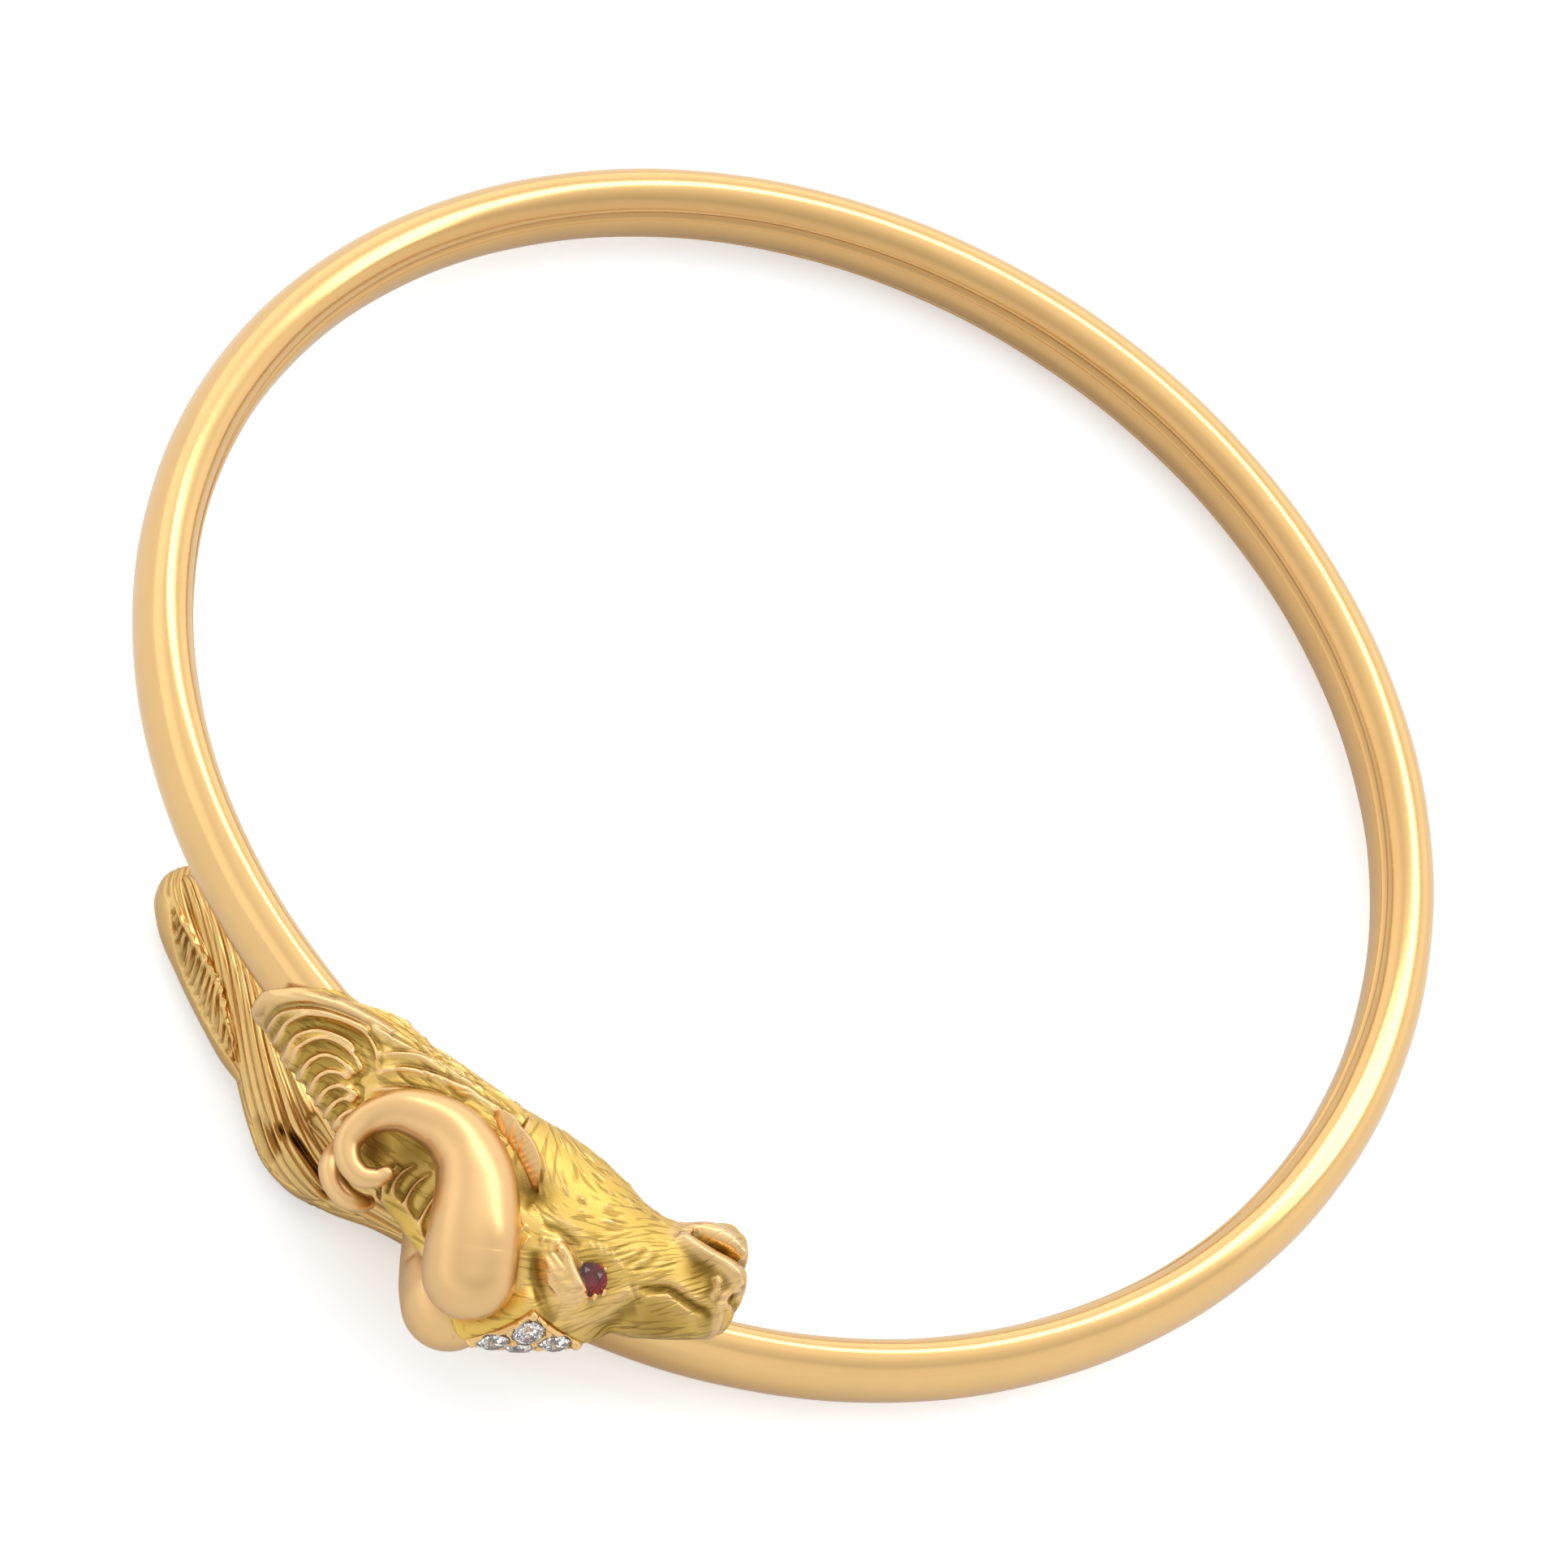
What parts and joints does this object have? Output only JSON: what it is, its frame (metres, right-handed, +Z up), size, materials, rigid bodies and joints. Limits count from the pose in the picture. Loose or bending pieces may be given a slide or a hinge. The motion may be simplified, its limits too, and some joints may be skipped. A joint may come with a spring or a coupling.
{
  "type": "animal head bracelet",
  "caption": "Stiff bypass bangle whose one end is a horned animal head with stone eyes and a jewelled forehead, the other a fluted, turned-over tail.",
  "frame": {"origin": "bottom centre of the whole bangle's box as it lies on its side", "axes": "+Z up along the wrist, +Y from the overlapping ends to the back of the wrist, +X to the side the nose points to"},
  "size_m": [0.0654, 0.0684, 0.0142],
  "materials": {
    "yellow_gold": "polished, matte on the head",
    "rose_gold": "polished",
    "ruby": "polished",
    "diamond": "polished"
  },
  "bodies": {
    "root": {"bangle": "yellow_gold", "horn_left": "rose_gold", "horn_right": "rose_gold", "eye_left": "ruby", "eye_right": "ruby", "diamond_back": "diamond", "diamond_front": "diamond", "diamond_left": "diamond", "diamond_right": "diamond"}
  },
  "joints": []
}
